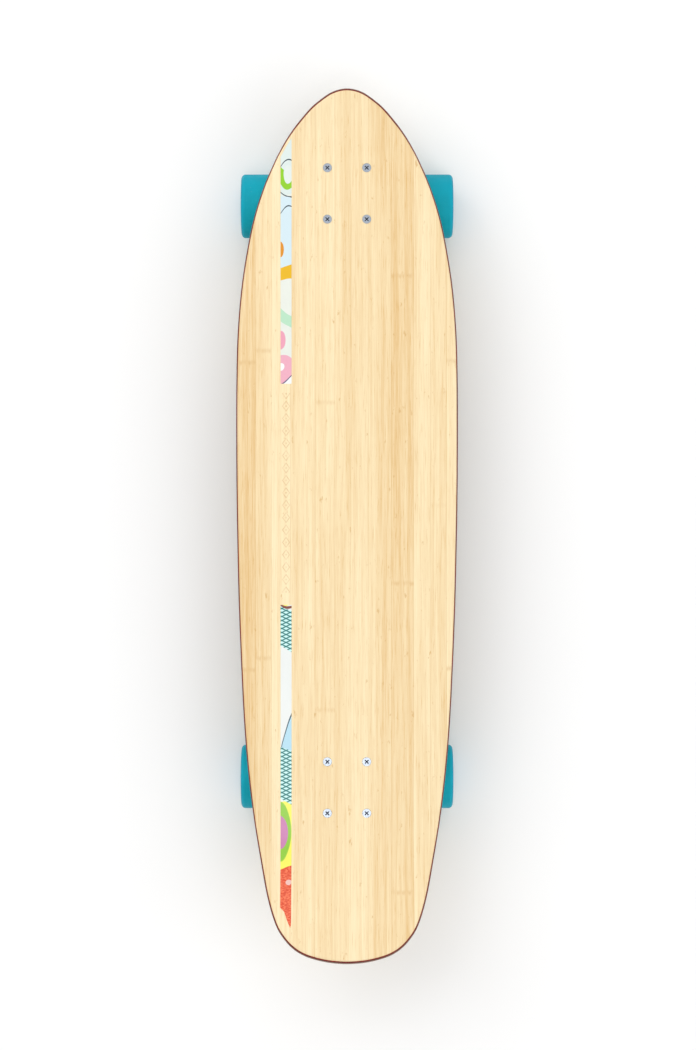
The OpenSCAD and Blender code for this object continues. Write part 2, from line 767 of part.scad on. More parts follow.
module battery_cells() {
    color([0.10, 0.45, 0.30]) for (x = [-cell_l - 0.5, 0.5]) for (k = [0 : cell_rows - 1])
        translate([x, cells_y + cell_d / 2 + k * cell_step, floor_z + cell_d / 2])
            rotate([0, 90, 0]) cylinder(d = cell_d, h = cell_l);
}

module battery_pad() {
    color([0.20, 0.20, 0.22]) translate([-cell_l, cells_y, floor_z + cell_d])
        cube([2 * cell_l, cell_rows * cell_step, pad_t]);
}

module battery_board() {
    color([0.05, 0.30, 0.15]) translate([-58, board_y, floor_z]) {
        cube([116, bms_l, 3.6]);
        for (k = [0 : 5]) translate([10 + k * 16, 4, 3.5]) cube([9, 10, 3]);
        translate([12, bms_l - 12, 3.5]) cube([60, 8, 6]);
    }
}

module motor_controller() {
    color([0.16, 0.16, 0.18]) translate([-ctrl_w / 2, ctrl_y, floor_z]) difference() {
        cube([ctrl_w, ctrl_l, ctrl_h]);
        for (k = [0 : 8]) translate([4.5 + k * (ctrl_w - 14) / 8, -1, ctrl_h - 3.5]) cube([4, ctrl_l + 2, 6]);
    }
}

module button_bezel() {
    color([0.65, 0.66, 0.68]) translate([0, port_y, port_z]) difference() {
        union() {
            along_x(tub_w / 2) cylinder(r = 8, h = 1.8);
            along_x(tub_w / 2 - 11) cylinder(r = 6, h = 12);
        }
        along_x(tub_w / 2 - 7) cylinder(r = 4.5, h = 20);
    }
}

module power_button() {
    color([0.85, 0.10, 0.10]) translate([0, port_y, port_z]) {
        along_x(tub_w / 2 - 7 + button_travel + 0.3) cylinder(r = 4.2, h = 8);
        along_x(tub_w / 2 + 1.3 + button_travel) cylinder(r1 = 4.2, r2 = 3.4, h = 0.8);
    }
}

module charge_port() {
    color([0.10, 0.10, 0.11]) translate([0, port_y, port_z]) mirror([1, 0, 0]) {
        difference() {
            union() {
                along_x(tub_w / 2) cylinder(r = 8, h = 1.8);
                along_x(tub_w / 2 - 12) cylinder(r = 6, h = 13);
            }
            along_x(tub_w / 2 - 8) cylinder(r = 2.75, h = 20);
        }
        along_x(tub_w / 2 - 8 - e) cylinder(r = 1, h = 8);
    }
}

// ---------- motor and belt ----------
// the drive is drawn on the rear truck, in a plane across the axle: first along, then up
module drive_plane(x) {
    truck_at(false) translate([x, axle_o, -axle_depth]) rotate([90, 0, 90]) children();
}

to_motor = [motor_o - axle_o, motor_rise];

module mount_screw_places() {
    for (k = [0 : 3]) translate(to_motor) rotate([0, 0, 45 + 90 * k]) translate([16.8, 0]) children();
}

module motor_mount() {
    color([0.14, 0.15, 0.17]) drive_plane(mount_x) difference() {
        union() {
            linear_extrude(height = mount_t) difference() {
                polygon(loop(15.5, to_motor, motor_d / 2 - 1, 28));
                translate(to_motor * 0.46) circle(r = 8);
                translate(to_motor) circle(r = 7);
            }
            translate([10, -8, 0]) cube([12, 16, mount_t]);
        }
        translate([0, 0, -1]) cylinder(r = tube_r, h = mount_t + 2);
        translate([5, -1, -1]) cube([20, 2, mount_t + 2]);
        translate([18, 20, mount_t / 2]) rotate([90, 0, 0]) cylinder(r = 1.6, h = 28);
        mount_screw_places() translate([0, 0, -1]) cylinder(r = 2, h = mount_t + 2);
    }
}

module mount_screws() {
    color([0.12, 0.12, 0.13]) drive_plane(mount_x) {
        mount_screw_places() difference() {
            union() {
                translate([0, 0, -4]) cylinder(r = 2, h = mount_t + 4);
                translate([0, 0, mount_t]) cylinder(r1 = 3.4, r2 = 2.6, h = 2);
            }
            translate([0, 0, mount_t + 0.8]) cylinder(r = 1.4, h = 2, $fn = 6);
        }
        translate([18, 0, mount_t / 2]) rotate([90, 0, 0]) {
            translate([0, 0, -8]) cylinder(r = 1.6, h = 16);
            translate([0, 0, -11]) cylinder(r = 2.8, h = 3 + e);
        }
    }
}

module motor_stator() {
    color([0.20, 0.20, 0.22]) drive_plane(mount_x) translate(to_motor) difference() {
        union() {
            translate([0, 0, -5]) cylinder(r = motor_d / 2 - 0.5, h = 5);
            translate([0, 0, -motor_l + 12]) cylinder(r = 8, h = motor_l - 12);
            translate([0, 0, -motor_l + 14]) cylinder(r = motor_d / 2 - 5, h = motor_l - 24);
        }
        for (k = [0 : 11]) rotate([0, 0, 30 * k]) translate([motor_d / 2 - 10, -1.2, -motor_l + 13])
            cube([8, 2.4, motor_l - 22]);
        translate([0, 0, -motor_l]) cylinder(r = 4.3, h = 2 * motor_l);
        for (k = [0 : 3]) rotate([0, 0, 45 + 90 * k]) translate([16.8, 0, -4]) cylinder(r = 2, h = 5);
    }
}

module motor_can() {
    color([0.55, 0.56, 0.58]) drive_plane(mount_x) translate(to_motor) {
        difference() {
            translate([0, 0, -motor_l]) cylinder(r = motor_d / 2, h = motor_l - 6);
            translate([0, 0, -motor_l + 6]) cylinder(r = motor_d / 2 - 2.4, h = motor_l);
            for (k = [0 : 7]) rotate([0, 0, 45 * k]) translate([motor_d * 0.27, 0, -motor_l - 1])
                cylinder(r = motor_d * 0.072, h = 9);
        }
        translate([0, 0, -motor_l + 1]) cylinder(r = 4, h = motor_l - 1 + belt_x - mount_x + belt_w + 2);
        translate([0, 0, -motor_l + 5]) cylinder(r = 6.5, h = 5);
    }
}

// toothed pulley along +Z: teeth of the belt's pitch, and a flange at each side
module pulley(n, w, flange) {
    pr = n * pitch / PI / 2;
    difference() {
        cylinder(r = pr - land, h = w);
        for (k = [0 : n - 1]) rotate([0, 0, 360 * k / n]) translate([pr - land - 0.3, 0, -1])
            cylinder(r = pitch * 0.33, h = w + 2, $fn = 16);
    }
    for (z = [-flange, w]) translate([0, 0, z]) cylinder(r = pr + 1.9, h = flange);
}

module motor_pulley() {
    color([0.70, 0.71, 0.73]) drive_plane(belt_x - 0.3) translate(to_motor) difference() {
        pulley(motor_teeth, belt_w + 0.6, 1.2);
        translate([0, 0, -5]) cylinder(r = 4, h = belt_w + 10);
    }
}

module drive_belt() {
    turn = atan2(to_motor[1], to_motor[0]);
    lean = asin((wheel_pr - motor_pr) / centres);
    color([0.06, 0.06, 0.06]) drive_plane(belt_x) {
        linear_extrude(height = belt_w) difference() {
            polygon(loop(wheel_pr + 1.5, to_motor, motor_pr + 1.5, 36));
            polygon(loop(wheel_pr - land + 0.3, to_motor, motor_pr - land + 0.3, 36));
        }
        for (s = [-1, 1]) rotate([0, 0, turn - s * lean]) for (k = [2 : floor(centres / pitch) - 3])
            translate([k * pitch + 2, s * (wheel_pr - land + 0.4) - (s > 0 ? 1.8 : 0), 0])
                cube([2.6, 1.8, belt_w]);
    }
}

module wheel_pulley() {
    reach = wheel_x - core_w / 2 - belt_x;
    color([0.15, 0.16, 0.18]) difference() {
        drive_plane(belt_x - 0.3) difference() {
            union() {
                pulley(wheel_teeth, belt_w + 0.6, 1);
                translate([0, 0, belt_w]) cylinder(r = core_r - 0.6, h = reach - belt_w + 0.3);
            }
            translate([0, 0, -5]) cylinder(r = tube_r + 1.5, h = reach + 10);
            translate([0, 0, -2]) cylinder(r = wheel_pr - 5, h = 8);
        }
        pulley_bolt_shapes(0);
    }
}

module pulley_bolt_shapes(grow) {
    drive_plane(belt_x + 5.7) for (k = [0 : 5]) rotate([0, 0, 60 * k]) translate([core_r - 3.6, 0, 0]) {
        translate([0, 0, -3]) cylinder(r = 3.4, h = 3);
        cylinder(r = 1.9, h = wheel_x - core_w / 2 + 14 - belt_x - 5.7);
    }
}

module pulley_bolts() {
    color([0.70, 0.70, 0.72]) difference() {
        pulley_bolt_shapes(0);
        drive_plane(belt_x + 5.7) for (k = [0 : 5]) rotate([0, 0, 60 * k]) translate([core_r - 3.6, 0, -4])
            cylinder(r = 1.5, h = 2.6, $fn = 6);
    }
}

deck_top_veneer();
deck_red_ply();
deck_core();
deck_bottom_veneer();
front_inlay();
rear_inlay();
deck_bolts();
deck_nuts();
riser_pads();
baseplates();
pivot_cups();
kingpins();
kingpin_nuts();
bushing_washers();
front_bushings();
front_hanger();
front_axle();
front_speed_washers();
front_axle_nuts();
front_bearing_inner_rings();
front_bearing_spacers();
rear_bushings();
rear_hanger();
rear_axle();
rear_speed_washers();
rear_axle_nuts();
rear_bearing_inner_rings();
rear_bearing_spacers();
front_left_tyre();
front_left_core();
front_left_bearings();
front_right_tyre();
front_right_core();
front_right_bearings();
rear_left_tyre();
rear_left_core();
rear_left_bearings();
rear_right_tyre();
rear_right_core();
rear_right_bearings();
enclosure_shell();
enclosure_screws();
battery_cells();
battery_pad();
battery_board();
motor_controller();
button_bezel();
power_button();
charge_port();
motor_mount();
mount_screws();
motor_stator();
motor_can();
motor_pulley();
drive_belt();
wheel_pulley();
pulley_bolts();
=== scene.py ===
"""Looks of the kicktail longboard and its under-deck belt drive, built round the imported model."""

import json
import math

import bmesh
import bpy
from mathutils import Matrix, Vector


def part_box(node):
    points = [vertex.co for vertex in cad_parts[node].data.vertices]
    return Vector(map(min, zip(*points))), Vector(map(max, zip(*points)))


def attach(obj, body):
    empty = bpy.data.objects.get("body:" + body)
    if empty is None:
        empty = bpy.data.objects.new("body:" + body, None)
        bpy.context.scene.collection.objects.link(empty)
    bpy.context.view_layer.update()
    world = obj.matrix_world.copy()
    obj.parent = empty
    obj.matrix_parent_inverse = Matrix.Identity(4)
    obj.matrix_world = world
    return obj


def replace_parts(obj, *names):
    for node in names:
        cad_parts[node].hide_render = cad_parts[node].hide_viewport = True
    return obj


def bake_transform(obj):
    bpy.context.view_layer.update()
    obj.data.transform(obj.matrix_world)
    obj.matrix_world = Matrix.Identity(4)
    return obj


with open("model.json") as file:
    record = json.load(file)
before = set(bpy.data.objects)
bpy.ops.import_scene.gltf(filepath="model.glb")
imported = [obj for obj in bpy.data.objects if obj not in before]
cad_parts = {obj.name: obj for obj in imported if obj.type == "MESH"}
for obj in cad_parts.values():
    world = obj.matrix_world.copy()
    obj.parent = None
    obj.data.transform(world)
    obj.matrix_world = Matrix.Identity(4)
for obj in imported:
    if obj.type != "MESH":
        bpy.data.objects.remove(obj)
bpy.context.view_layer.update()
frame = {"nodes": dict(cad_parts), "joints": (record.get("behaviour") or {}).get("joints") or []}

MM = 0.001
WELD = 2e-6


# ---------------------------------------------------------------- shader arithmetic
class Val:
    """A node's output that takes part in plain arithmetic; every step adds one Math node."""

    def __init__(self, finish, socket):
        self.finish = finish
        self.socket = socket

    def __add__(self, other):
        return self.finish.math("ADD", self, other)

    def __sub__(self, other):
        return self.finish.math("SUBTRACT", self, other)

    def __rsub__(self, other):
        return self.finish.math("SUBTRACT", other, self)

    def __mul__(self, other):
        return self.finish.math("MULTIPLY", self, other)

    def __truediv__(self, other):
        return self.finish.math("DIVIDE", self, other)

    def __pow__(self, other):
        return self.finish.math("POWER", self, other)

    def __abs__(self):
        return self.finish.math("ABSOLUTE", self)

    __radd__ = __add__
    __rmul__ = __mul__


class Finish:
    """One material: a shader with its fixed values, and the nodes that vary it over a surface."""

    def __init__(self, name, fixed):
        self.material = bpy.data.materials.new(name)
        self.material.use_nodes = True
        self.tree = self.material.node_tree
        self.shader = self.tree.nodes["Principled BSDF"]
        for socket, value in fixed.items():
            self.feed(self.shader.inputs[socket], value)

    def feed(self, socket, value):
        if isinstance(value, Val):
            self.tree.links.new(value.socket, socket)
        else:
            socket.default_value = value

    def node(self, kind, settings=None, sockets=None, out=0):
        made = self.tree.nodes.new(kind)
        settings = dict(settings or {})
        stops = settings.pop("stops", None)
        for key, value in settings.items():
            setattr(made, key, value)
        if stops:
            ramp = made.color_ramp.elements
            while len(ramp) < len(stops):
                ramp.new(0.5)
            for element, (at, colour) in zip(ramp, stops):
                element.position = at
                element.color = (*colour, 1)
        for key, value in (sockets or {}).items():
            self.feed(made.inputs[key], value)
        return Val(self, made.outputs[out])

    def math(self, operation, *values):
        return self.node("ShaderNodeMath", {"operation": operation}, dict(enumerate(values)))

    def spot(self, stretch=(1, 1, 1), shift=(0, 0, 0)):
        """The place on the piece, shifted and then stretched."""
        place = self.node("ShaderNodeTexCoord", out=3)
        if any(shift):
            place = self.node("ShaderNodeVectorMath", {"operation": "ADD"}, {0: place, 1: shift})
        return self.node("ShaderNodeVectorMath", {"operation": "MULTIPLY"}, {0: place, 1: stretch})

    def axes(self, letters):
        """The place on the piece, as one number for each letter."""
        sockets = {0: self.node("ShaderNodeTexCoord", out=3)}
        return [self.node("ShaderNodeSeparateXYZ", None, sockets, "XYZ".index(letter)) for letter in letters]

    def noise(self, stretch, detail=2.0, rough=0.5, shift=(0, 0, 0)):
        sockets = {"Vector": self.spot(stretch, shift), "Scale": 1, "Detail": detail, "Roughness": rough}
        return self.node("ShaderNodeTexNoise", None, sockets)

    def cells(self, scale):
        """How far each place is from the nearest of many scattered points."""
        return self.node("ShaderNodeTexVoronoi", None, {"Vector": self.spot(), "Scale": scale}, "Distance")

    def chance(self, number):
        """A random number from 0 to 1 for each whole number."""
        return self.node("ShaderNodeTexWhiteNoise", {"noise_dimensions": "1D"}, {"W": number})

    def level(self, value, low, high, to_low=0.0, to_high=1.0):
        sockets = {0: value, 1: low, 2: high, 3: to_low, 4: to_high}
        return self.node("ShaderNodeMapRange", {"interpolation_type": "SMOOTHSTEP"}, sockets)

    def ramp(self, value, *stops):
        return self.node("ShaderNodeValToRGB", {"stops": stops}, {0: value})

    def mix(self, a, b, share):
        a, b = (c if isinstance(c, Val) else (*c, 1) for c in (a, b))
        return self.node("ShaderNodeMix", {"data_type": "RGBA"}, {0: share, 6: a, 7: b}, 2)

    def bump(self, height, depth):
        """Depth is how far the surface moves, in metres, as height goes from 0 to 1."""
        return self.node("ShaderNodeBump", None, {"Height": height, "Distance": depth, "Strength": 1})

    def set(self, **varying):
        for socket, value in varying.items():
            self.feed(self.shader.inputs[socket.replace("_", " ")], value)
        return self.material


# ---------------------------------------------------------------- finishes
STRIP_WIDTH = 0.0205
BAMBOO_LIGHT = (0.90, 0.755, 0.485)
BAMBOO_DARK = (0.71, 0.455, 0.185)
KNUCKLE_BROWN = (0.62, 0.36, 0.12)
BURNT_BROWN = (0.62, 0.38, 0.16)
RHOMB_HALF_WIDTH, RHOMB_HALF_LENGTH = 0.0046, 0.0065
BURN_START, BURN_END = -0.0725, 0.1385


def grain(f):
    """Bamboo: glued strips, each with its own tone, long fibres and the odd knuckle line."""
    x, y = f.axes("XY")
    # uneven widths come from a slow wave across the deck
    place = (x + 0.2 + f.math("SINE", x * 70) * 0.0035) / STRIP_WIDTH
    number = f.math("FLOOR", place)
    tone = f.chance(number)
    fibre = f.level(f.noise((1500, 18, 0), 4, 0.65), 0.36, 0.64)
    streak = f.level(f.noise((300, 6, 0), 4, 0.65), 0.34, 0.66)
    broad = f.level(f.noise((60, 1.1, 0), 2, 0.5), 0.3, 0.7)
    dash = f.level(f.noise((1000, 34, 0), 3, 0.6, (1, 4, 2)), 0.55, 0.72)
    mixed = tone * 0.44 + fibre * 0.19 + streak * 0.25 + broad * 0.24 - dash * 0.28
    middle = tuple(a * 0.55 + b * 0.45 for a, b in zip(BAMBOO_LIGHT, BAMBOO_DARK))
    wood = f.ramp(mixed, (0.10, BAMBOO_DARK), (0.46, middle), (0.84, BAMBOO_LIGHT))
    seam_line = f.level(abs(f.math("FRACT", place) - 0.5), 0.472, 0.5)
    knuckles_per_metre = 3.1
    along = f.math("FRACT", y * knuckles_per_metre + f.chance(number + 40) * 7.3 + streak * 0.006)
    knuckle = f.level(abs(along - 0.5), 0.012, 0.0) * f.level(f.chance(number + 90), 0.3, 0.5)
    speck = f.level(f.noise((170, 62, 0), 4, 0.65, (3, 1, 0)), 0.625, 0.72)
    marks = knuckle * (streak * 0.4 + 0.03) + speck * 0.6 + seam_line * 0.3 + dash * 0.12
    wood = f.mix(wood, KNUCKLE_BROWN, marks)
    height = fibre * 0.6 + knuckle * 0.8 - seam_line * 0.5
    return wood, height, streak


def bamboo(name, ornament=False):
    """Lacquered bamboo veneer; the ornament is a faint burnt row of rhombs between the strips."""
    f = Finish(name, {"Coat Weight": 0.1, "Coat Roughness": 0.3, "Specular IOR Level": 0.3})
    wood, height, streak = grain(f)
    if ornament:
        x, y = f.axes("XY")
        across = (x + INLAY_X) / RHOMB_HALF_WIDTH
        along = f.math("PINGPONG", y + 0.5, RHOMB_HALF_LENGTH) / RHOMB_HALF_LENGTH
        rhomb = abs(across) + along
        line = f.level(abs(rhomb - 0.8), 0.2, 0.06) + f.level(rhomb, 0.26, 0.16)
        within = f.level(y, BURN_START, BURN_START + MM) * f.level(y, BURN_END, BURN_END - MM)
        within = within * f.level(abs(across), 1.05, 1.0)
        burnt = line * within
        worn = f.level(f.noise((260, 90, 0), 2, 0.5), 0.35, 0.7) * 0.3 + 0.25
        wood = f.mix(wood, BURNT_BROWN, burnt * worn)
        height = height - burnt
    return f.set(Base_Color=wood, Roughness=0.36 + streak * 0.16, Normal=f.bump(height, 0.00006))


def dyed_ply():
    """Red-dyed veneer, with its fibres along the deck."""
    f = Finish("dyed_red_ply", {"Specular IOR Level": 0.2})
    fibre = f.noise((900, 12, 900), 3, 0.6)
    dark_red, light_red = (0.12, 0.008, 0.005), (0.30, 0.032, 0.018)
    colour = f.ramp(fibre, (0.3, dark_red), (0.7, light_red))
    return f.set(Base_Color=colour, Roughness=0.42 + fibre * 0.15, Normal=f.bump(fibre, 0.00005))


SHEET = 1.24


def core_ply():
    """The core's sheets seen edge on, each SHEET mm thick, with dark glue between them and at both faces."""
    f = Finish("glued_core_ply", {"Coat Weight": 0.15, "Coat Roughness": 0.35})
    depth = f.node("ShaderNodeAttribute", {"attribute_name": "depth"}, None, 2)
    sheet = f.math("FLOOR", depth / SHEET)
    joint = f.level(abs(f.math("FRACT", depth / SHEET) - 0.5), 0.40, 0.47)
    fibre = f.noise((700, 40, 700), 3, 0.6)
    tone = f.chance(sheet + 3) * 0.6 + fibre * 0.4
    dark_brown, red_brown, pale_brown = (0.09, 0.026, 0.012), (0.24, 0.085, 0.035), (0.44, 0.22, 0.10)
    wood = f.ramp(tone, (0.2, dark_brown), (0.55, red_brown), (0.85, pale_brown))
    middle_depth = 6.1
    outer = f.level(abs(depth - middle_depth), 2.3, 2.5)
    glue = (0.018, 0.006, 0.004)
    wood = f.mix(wood, glue, f.math("MAXIMUM", joint * 0.75, outer))
    return f.set(Base_Color=wood, Roughness=0.45 + fibre * 0.15, Normal=f.bump(fibre - joint * 0.6, 0.00008))


INLAY_X = 0.064
INLAY_HALF = 0.00575
# bands of the printed art: from and to along the deck in mm, colour, slant, curve
FRONT_BANDS = (
    (430, 345, (0.68, 0.77, 0.74), 1, 0), (383, 381.4, (0.03, 0.05, 0.07), 3, -4),
    (369, 351, (0.26, 0.58, 0.02), -3, 3.5), (345, 343.6, (0.03, 0.05, 0.07), -3, 2),
    (343.6, 262, (0.62, 0.76, 0.82), -1, 0), (334, 332.8, (0.03, 0.05, 0.07), 4, -3),
    (271, 257, (0.77, 0.45, 0.012), 1.2, 0), (222, 208, (0.46, 0.72, 0.52), -4, 0),
    (177, 140, (0.80, 0.40, 0.50), -2, -1), (151.8, 150.6, (0.06, 0.07, 0.16), 4, 1),
    (150.6, 130, (0.86, 0.88, 0.86), 4, 1),
)
# round shapes: middle along in mm, middle across, half length in mm, half width, colour
FRONT_ROUNDS = (
    (366, 0.4, 10, 0.85, (0.72, 0.79, 0.75)), (288.5, -1, 8, 0.6, (0.70, 0.27, 0.02)),
    (194, -1, 9, 0.9, (0.80, 0.34, 0.45)), (164, -1, 4, 0.7, (0.86, 0.88, 0.86)),
)
REAR_BANDS = (
    (-84, -86.5, (0.87, 0.80, 0.14), 1, 0), (-86.5, -89, (0.20, 0.05, 0.03), -1, 1),
    (-214, -217.5, (0.03, 0.08, 0.12), 19, -3), (-217.5, -262, (0.42, 0.66, 0.78), 19, -3),
    (-290, -362, (0.86, 0.84, 0.12), 2.5, 0), (-358.5, -430, (0.66, 0.055, 0.014), 2.2, 0),
)
REAR_ROUNDS = (
    (-323, -1.05, 31, 2.0, (0.27, 0.56, 0.05)), (-324, -1.1, 18, 1.45, (0.56, 0.21, 0.42)),
    (-373.5, 0.5, 3.2, 0.55, (0.80, 0.50, 0.44)),
)
# lattices of the rear strip: from and to along the deck in mm, and half the pitch of their mesh
LATTICES = ((-89, -131), (-236, -291))
HALF_PITCH = 2.1
LATTICE_PALE, LATTICE_DARK = (0.55, 0.86, 0.82), (0.012, 0.17, 0.17)
SPECKLED_RED = (0.88, 0.20, 0.085)


def inlay_art(name, ground, bands, rounds, lattices=()):
    """Plain generic colour shapes, printed on the strip and lacquered."""
    f = Finish(name, {"Coat Weight": 0.2, "Coat Roughness": 0.2, "Specular IOR Level": 0.3})
    x, y = f.axes("XY")
    across = (x + INLAY_X) / INLAY_HALF
    wave = f.noise((60, 45, 0), 0, 0.5) - 0.5
    y_mm = y * 1000 + wave * 7
    colour = f.mix(ground, tuple(c * 0.94 for c in ground), f.noise((120, 60, 120)))
    for start, stop, paint, slant, curve in bands:
        edge = y_mm - across * slant - across * across * curve
        mask = f.level(edge, start + 0.15, start - 0.15) * f.level(edge, stop - 0.15, stop + 0.15)
        if stop < -400:
            hatching = f.level(f.noise((420, 1000, 420), 3, 0.7), 0.44, 0.60)
            paint = f.mix(paint, SPECKLED_RED, hatching)
        colour = f.mix(colour, paint, mask)
    for middle, off, half_length, half_width, paint in rounds:
        reach = (((y_mm - middle) / half_length) ** 2 + ((across - off) / half_width) ** 2) ** 0.5
        colour = f.mix(colour, paint, f.level(reach, 1.03, 0.97))
    if lattices:
        along = y * 1000 + 500
        lines = (f.math("PINGPONG", along + across * s * 2.7, HALF_PITCH) / HALF_PITCH for s in (-1, 1))
        lozenge = f.math("MAXIMUM", *lines)
        net = f.ramp(lozenge, (0.60, LATTICE_PALE), (0.74, LATTICE_DARK))
        for start, stop in lattices:
            edge = y_mm + across * 2.5
            area = f.level(edge, start + 0.2, start - 0.2) * f.level(edge, stop - 0.2, stop + 0.2)
            colour = f.mix(colour, net, area)
    weave = f.noise((1500, 200, 1500))
    return f.set(Base_Color=colour, Roughness=0.3 + wave * 0.1, Normal=f.bump(weave, 0.00002))


def metal(name, colour, rough, marks=(600, 600, 600), bump=0.00002, dull=0.12, dark=0.75):
    """Bare or plated metal with fine marks that also vary its gloss."""
    f = Finish(name, {"Metallic": 1.0})
    fine = f.noise(marks, 4, 0.6)
    smudge = f.noise((45, 45, 45), 3, 0.6, (2, 5, 1))
    base = f.mix(colour, tuple(c * dark for c in colour), f.level(smudge, 0.35, 0.7))
    return f.set(Base_Color=base, Roughness=rough + fine * dull + smudge * dull, Normal=f.bump(fine, bump))


def bolt_steel():
    """Blue-grey zinc plate, with painted shade darkening the cross of each bolt's head."""
    f = Finish("bolt_zinc", {})
    [z] = f.axes("Z")
    cross_floor = TOP - 0.0060
    # painted shade: near-black, less metallic and rougher down in the cross recess of each bolt head
    painted_cross_shade = f.level(z, TOP - 0.0003, TOP - 0.0011) * f.level(z, cross_floor, cross_floor + 0.0005)
    fine = f.noise((900, 900, 900), 4, 0.6)
    light_zinc, dark_zinc, shade = (0.46, 0.51, 0.59), (0.37, 0.42, 0.49), (0.045, 0.055, 0.075)
    base = f.mix(light_zinc, dark_zinc, fine)
    base = f.mix(base, shade, painted_cross_shade)
    return f.set(Base_Color=base, Metallic=1 - painted_cross_shade * 0.5, Roughness=0.26 + fine * 0.12 + painted_cross_shade * 0.2,
                 Normal=f.bump(fine, 0.00001))


def coated(name, colour, rough, specks, bump, coat=0.0):
    """Powder coat, moulded plastic or rubber: a fine pebbled skin with faint wear and dust."""
    f = Finish(name, {"Coat Weight": coat, "Coat Roughness": 0.2})
    pebble = f.cells(specks)
    haze = f.noise((38, 38, 38), 4, 0.6)
    base = f.mix(colour, tuple(min(1, c * 1.5 + 0.012) for c in colour), f.level(haze, 0.4, 0.75))
    return f.set(Base_Color=base, Roughness=rough + haze * 0.14, Normal=f.bump(pebble, bump))


TEAL = (0.001, 0.325, 0.475)
GROUND_TEAL = (0.008, 0.42, 0.53)
ROAD_DUST = (0.30, 0.48, 0.50)


def wheel_urethane(name, y_axle):
    """Cast urethane with a ground riding surface: fine turned lines and faint road dust."""
    f = Finish(name, {"Specular IOR Level": 0.12})
    y, z = f.axes("YZ")
    radius = ((y - y_axle) ** 2 + (z - WHEEL_R) ** 2) ** 0.5
    tread = f.level(radius, WHEEL_R - 0.0022, WHEEL_R - 0.0004)
    turned = f.noise((2600, 40, 40), 3, 0.6)
    cloud = f.noise((60, 60, 60), 3, 0.5)
    base = f.mix(TEAL, tuple(c * 0.8 for c in TEAL), f.level(cloud, 0.3, 0.75))
    base = f.mix(base, GROUND_TEAL, tread * (0.35 + turned * 0.4))
    dust = f.level(f.noise((300, 300, 300), 5, 0.7), 0.62, 0.8) * tread
    base = f.mix(base, ROAD_DUST, dust * 0.35)
    height = turned * tread + cloud * 0.3
    return f.set(Base_Color=base, Roughness=0.38 + tread * 0.16 + cloud * 0.1, Normal=f.bump(height, 0.00005))


def sealed_bearing(name, y_axle):
    """Steel rings with a black seal between them."""
    f = Finish(name, {})
    y, z = f.axes("YZ")
    radius = ((y - y_axle) ** 2 + (z - WHEEL_R) ** 2) ** 0.5
    inner, outer = 0.0066, 0.0096
    seal = f.level(radius, inner, inner + 0.0002) * f.level(radius, outer, outer - 0.0002)
    fine = f.noise((500, 500, 500), 3, 0.6)
    ring_steel, seal_rubber = (0.62, 0.63, 0.65), (0.012, 0.013, 0.015)
    colour = f.mix(ring_steel, seal_rubber, seal)
    rough = f.level(seal, 0, 1, 0.18, 0.5) + fine * 0.08
    return f.set(Base_Color=colour, Metallic=1 - seal, Roughness=rough, Normal=f.bump(fine, 0.00001))


def cast_urethane():
    """Cloudy cream urethane of the bushings."""
    f = Finish("bushing_urethane", {"Subsurface Weight": 0.1, "Coat Weight": 0.2, "Coat Roughness": 0.25})
    cloud = f.noise((130, 130, 130), 3, 0.5)
    cream, amber = (0.80, 0.77, 0.66), (0.70, 0.66, 0.52)
    base = f.mix(cream, amber, cloud)
    return f.set(Base_Color=base, Roughness=0.32 + cloud * 0.15, Normal=f.bump(cloud, 0.0001))


def circuit_board():
    """Green board, its tracks a little raised under lacquer."""
    f = Finish("circuit_board", {"Coat Weight": 0.5, "Coat Roughness": 0.15})
    tracks = f.cells(260)
    copper = f.level(tracks, 0.06, 0.03)
    board_green, track_green = (0.012, 0.13, 0.05), (0.05, 0.32, 0.14)
    base = f.mix(board_green, track_green, copper)
    return f.set(Base_Color=base, Roughness=0.3 + copper * 0.2, Normal=f.bump(copper, 0.00004))


def cell_sleeve():
    """Green shrink film with bare metal at the cells' ends."""
    f = Finish("cell_sleeve", {"Coat Weight": 0.5, "Coat Roughness": 0.1})
    [x] = f.axes("X")
    half_cell = 0.033
    crimp = f.level(f.math("PINGPONG", x + 0.5, half_cell), half_cell - 0.003, half_cell - 0.0015)
    fold = f.noise((90, 900, 900), 3, 0.6)
    film_green, bare_end = (0.03, 0.30, 0.20), (0.5, 0.5, 0.52)
    base = f.mix(film_green, bare_end, crimp)
    return f.set(Base_Color=base, Roughness=0.3 + fold * 0.15, Normal=f.bump(fold, 0.00005))


# ---------------------------------------------------------------- mesh helpers
def new_piece(name, bm, finish, body, sharp=35):
    """A mesh object from a bmesh, smooth but for its sharp edges, riding on its body."""
    bmesh.ops.recalc_face_normals(bm, faces=bm.faces)
    limit = math.radians(sharp)
    for face in bm.faces:
        face.smooth = True
    for edge in bm.edges:
        edge.smooth = len(edge.link_faces) != 2 or edge.calc_face_angle(0) < limit
    mesh = bpy.data.meshes.new(name)
    bm.to_mesh(mesh)
    bm.free()
    piece = bpy.data.objects.new(name, mesh)
    bpy.context.scene.collection.objects.link(piece)
    mesh.materials.append(finish)
    if body:
        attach(piece, body)
    return piece


def bake(piece):
    """Applies the piece's modifiers to its mesh."""
    bpy.context.view_layer.update()
    shape = piece.evaluated_get(bpy.context.evaluated_depsgraph_get())
    mesh = bpy.data.meshes.new_from_object(shape)
    piece.modifiers.clear()
    old = piece.data
    piece.data = mesh
    bpy.data.meshes.remove(old)


def cad_copy(node):
    """A welded bmesh of a CAD node."""
    bm = bmesh.new()
    bm.from_mesh(frame["nodes"][node].data)
    bmesh.ops.remove_doubles(bm, verts=bm.verts, dist=WELD)
    return bm


